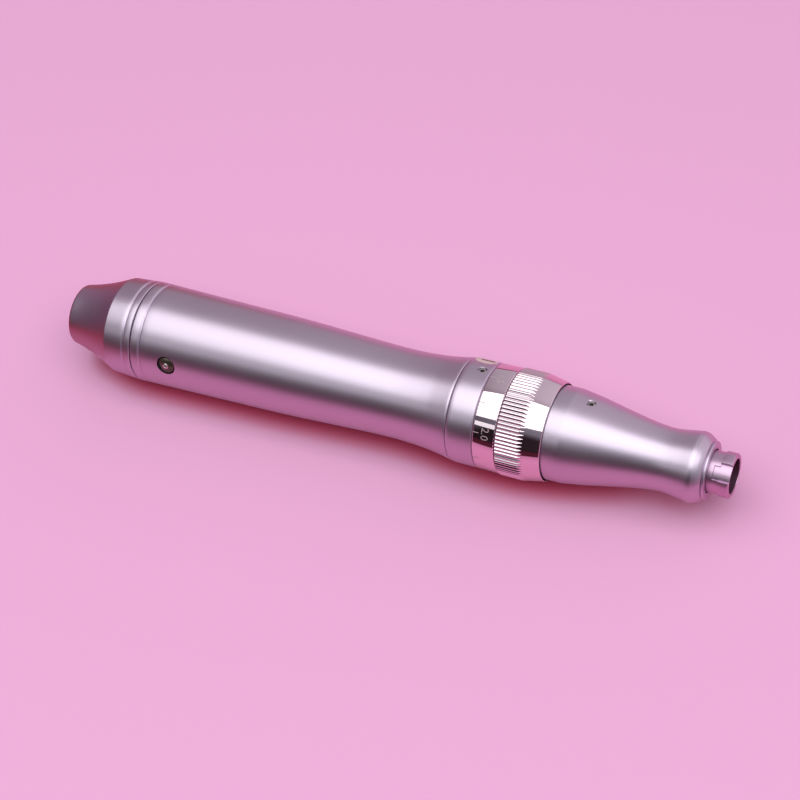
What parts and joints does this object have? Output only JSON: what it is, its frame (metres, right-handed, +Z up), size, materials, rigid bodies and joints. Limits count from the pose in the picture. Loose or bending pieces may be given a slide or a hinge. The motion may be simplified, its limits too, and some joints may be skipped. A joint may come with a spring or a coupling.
{
  "type": "microneedling pen",
  "caption": "Cordless motor pen with a tapered tail, waisted grip, chrome needle-depth ring with scale and straight knurl, and a flared nose with a bayonet tube for a needle cartridge.",
  "frame": {"origin": "under the middle of the pen's length, on the surface that it lies on", "axes": "+X along the pen's axis from the tail to the needle end, +Z up, -Y towards the side with the power button"},
  "size_m": [0.1702, 0.0258, 0.0258],
  "materials": {
    "satin_aluminium": "satin lavender-silver anodised",
    "chrome": "polished chrome plate",
    "steel": "machined steel",
    "dark_gloss": "dark gloss dome",
    "black_plastic": "matte black",
    "white_plastic": "matte white",
    "brass": "machined brass",
    "board_green": "green solder mask",
    "cell_wrap": "blue shrink wrap",
    "rubber": "black rubber",
    "red_lead": "red insulation",
    "black_lead": "black insulation"
  },
  "bodies": {
    "handle": {"tail_cap": "satin_aluminium", "body_shell": "satin_aluminium", "index_collar": "satin_aluminium", "collar_grub_screw": "steel", "charge_socket": "black_plastic", "socket_centre_pin": "brass", "socket_ring_nut": "steel", "socket_lead_plus": "red_lead", "socket_lead_minus": "black_lead", "cell_holder_rear": "white_plastic", "cell_holder_front": "white_plastic", "battery_cell": "cell_wrap", "board_saddle": "white_plastic", "circuit_board": "board_green", "push_switch": "steel", "charge_chip": "black_plastic", "motor_lead_plus": "red_lead", "motor_lead_minus": "black_lead", "motor_terminal_plus": "brass", "motor_terminal_minus": "brass", "motor_end_cap": "white_plastic", "motor_can": "steel", "motor_sleeve": "black_plastic", "motor_plate": "steel", "motor_screw_left": "steel", "motor_screw_right": "steel", "guide_sleeve": "steel", "friction_o_ring": "rubber", "ring_clip": "steel", "rod_bush": "brass"},
    "depth_ring": {"depth_ring": "chrome"},
    "nose": {"nose_cone": "satin_aluminium", "nose_grub_screw": "steel", "nose_carrier": "brass", "carrier_key_left": "steel", "carrier_key_right": "steel", "bayonet_tube": "steel"},
    "power_button": {"power_button": "dark_gloss"},
    "rotor": {"motor_shaft": "steel", "drive_cam": "steel", "cam_grub_screw": "steel"},
    "plunger": {"push_rod": "steel", "follower_head": "white_plastic", "follower_ball": "steel", "follower_key": "steel", "return_spring": "steel"}
  },
  "joints": [
    {"name": "depth_ring_turn", "type": "hinge", "parent": "handle", "child": "depth_ring", "pos_m": [0.034, 0, 0.01289], "axis": [1, 0, 0], "range_deg": [-162.5, 162.5]},
    {"name": "nose_travel", "type": "slide", "parent": "handle", "child": "nose", "axis": [1, 0, 0], "range_m": [-0.00125, 0.00125]},
    {"name": "power_button_press", "type": "slide", "parent": "handle", "child": "power_button", "axis": [0, 0.9455, -0.3256], "range_m": [0, 0.0006], "stiffness_N_per_m": 1000, "springref_m": -0.0004},
    {"name": "rotor_spin", "type": "hinge", "parent": "handle", "child": "rotor", "pos_m": [0.009, 0, 0.01289], "axis": [1, 0, 0], "continuous": true},
    {"name": "plunger_stroke", "type": "slide", "parent": "handle", "child": "plunger", "axis": [1, 0, 0], "range_m": [0, 0.0025], "stiffness_N_per_m": 100, "springref_m": -0.003, "deforming": ["return_spring"]}
  ],
  "couplings": [
    {"joint": "depth_ring_turn", "follows": "nose_travel", "rad_per_m": 2268.9}
  ]
}
